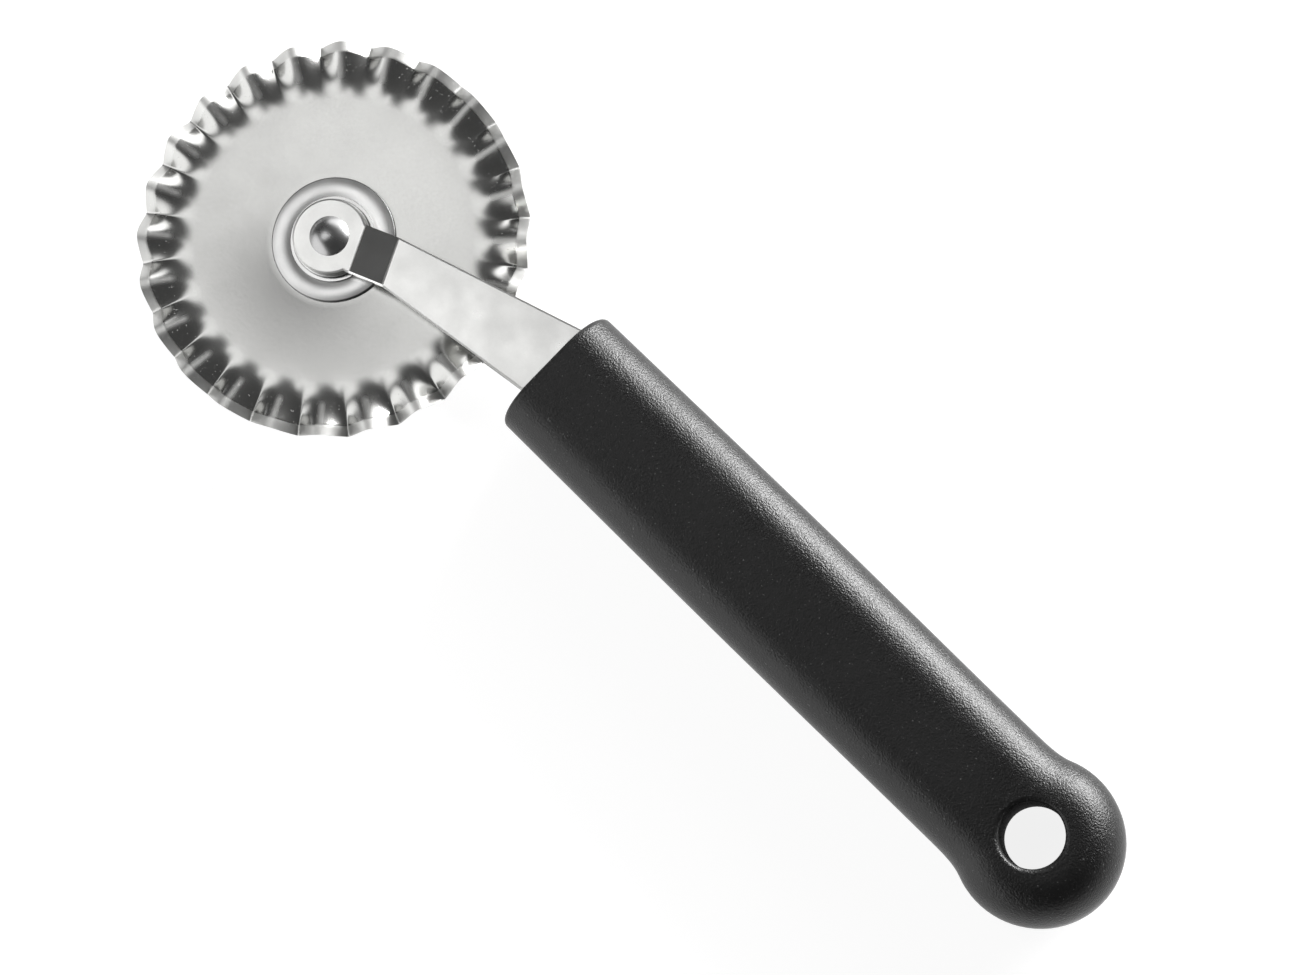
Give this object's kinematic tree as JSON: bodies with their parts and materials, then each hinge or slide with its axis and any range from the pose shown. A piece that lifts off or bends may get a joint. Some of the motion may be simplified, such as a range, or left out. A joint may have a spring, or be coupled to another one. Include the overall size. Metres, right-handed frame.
{
  "type": "fluted pastry wheel",
  "caption": "Hand tool with a crimped steel disc that turns on a riveted fork in a moulded handle with a hang hole, for cutting and crimping pastry edges.",
  "frame": {"origin": "centre of the bounding box's base, under the tool as it lies on its side", "axes": "+X along the handle from the wheel to the hang hole, +Z along the wheel's axle out of the side with the domed rivet head"},
  "size_m": [0.1796, 0.06, 0.018],
  "materials": {
    "handle_plastic": "black moulded polypropylene with a fine eroded grain",
    "arm_steel": "bright satin stainless sheet",
    "rivet_steel": "polished stainless steel",
    "washer_steel": "plain stainless steel",
    "wheel_steel": "satin stainless sheet with polished flutes",
    "bush_steel": "turned stainless steel",
    "ring_steel": "satin stainless steel"
  },
  "bodies": {
    "grip": {"handle": "handle_plastic", "front_arm": "arm_steel", "rear_arm": "arm_steel", "axle_rivet": "rivet_steel", "spacer_washer_front": "washer_steel", "spacer_washer_rear": "washer_steel"},
    "wheel": {"fluted_wheel": "wheel_steel", "hub_bush": "bush_steel", "hub_ring_front": "ring_steel", "hub_ring_rear": "ring_steel"}
  },
  "joints": [
    {"name": "wheel_spin", "type": "hinge", "parent": "grip", "child": "wheel", "pos_m": [-0.0598, 0, 0.009], "axis": [0, 0, 1], "continuous": true}
  ]
}
